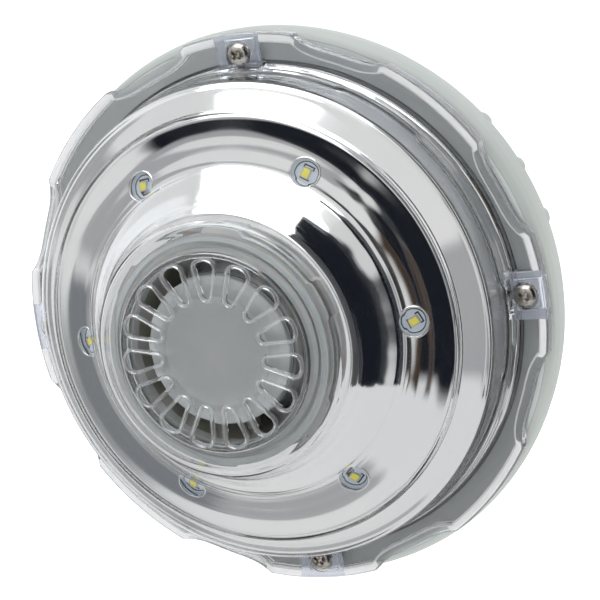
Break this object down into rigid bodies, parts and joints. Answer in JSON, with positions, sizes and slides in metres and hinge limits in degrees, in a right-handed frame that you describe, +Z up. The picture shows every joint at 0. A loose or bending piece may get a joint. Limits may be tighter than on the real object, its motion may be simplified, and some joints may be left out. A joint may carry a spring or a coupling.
{
  "type": "underwater pool light",
  "caption": "Water-powered pool light with clear domed lens, chrome reflector, ring of LEDs, slotted outlet cap and screw-on rear collar.",
  "frame": {"origin": "on the light's axis, in the plane of the rear collar's seat, where the light bears on the pool's return fitting", "axes": "+Y runs along the light's axis towards the pool wall, so the light faces -Y; +Z is up, through the top lens screw; +X is to the right as seen from the front"},
  "size_m": [0.1708, 0.1052, 0.1708],
  "materials": {
    "clear_plastic": "polished clear polycarbonate",
    "chrome": "bright metallised plastic",
    "shell_plastic": "satin moulded plastic, pale grey-green",
    "grey_plastic": "satin moulded plastic, cool grey",
    "dark_plastic": "matte moulded plastic, near black",
    "steel": "stainless steel, bright turned",
    "rubber": "moulded rubber",
    "silicone": "moulded silicone, grey-white",
    "board": "white solder resist on glass-fibre board",
    "phosphor": "yellow phosphor gel in a white chip body",
    "copper": "enamelled copper winding wire",
    "brass": "sintered bronze bush",
    "magnet": "ferrite, matte dark grey",
    "lead_sleeve": "flexible sleeve, off-white"
  },
  "bodies": {
    "root": {"front_lens": "clear_plastic", "outlet_grille": "clear_plastic", "reflector": "chrome", "led_board_1": "board", "led_board_2": "board", "led_board_3": "board", "led_board_4": "board", "led_board_5": "board", "led_board_6": "board", "rectifier_board": "board", "led_chip_1": "phosphor", "led_chip_2": "phosphor", "led_chip_3": "phosphor", "led_chip_4": "phosphor", "led_chip_5": "phosphor", "led_chip_6": "phosphor", "led_harness": "lead_sleeve", "led_lead": "lead_sleeve", "lens_gasket": "rubber", "tube_o_ring": "rubber", "inlet_seal": "rubber", "pod_seal": "rubber", "shaft_seal": "rubber", "rear_shell": "shell_plastic", "lens_screw_top": "steel", "lens_screw_right": "steel", "lens_screw_bottom": "steel", "lens_screw_left": "steel", "claw_pole_rear": "steel", "claw_pole_front": "steel", "board_screw_1": "steel", "board_screw_2": "steel", "water_tube": "dark_plastic", "lead_conduit": "dark_plastic", "stator_bobbin": "dark_plastic", "smoothing_capacitor": "dark_plastic", "rectifier_chip": "dark_plastic", "grille_retainer": "grey_plastic", "flow_guide": "grey_plastic", "generator_housing": "grey_plastic", "generator_cap": "grey_plastic", "bearing_plate": "grey_plastic", "hub_gasket": "silicone", "rear_bushing": "brass", "front_bushing": "brass", "stator_coil": "copper"},
    "rotor": {"turbine_wheel": "grey_plastic", "rotor_shaft": "steel", "magnet_hub": "dark_plastic", "ring_magnet": "magnet", "thrust_washer": "steel", "shaft_clip": "steel"}
  },
  "joints": [
    {"name": "turbine_spin", "type": "hinge", "parent": "root", "child": "rotor", "pos_m": [0, -0.033, 0], "axis": [0, -1, 0], "continuous": true}
  ]
}
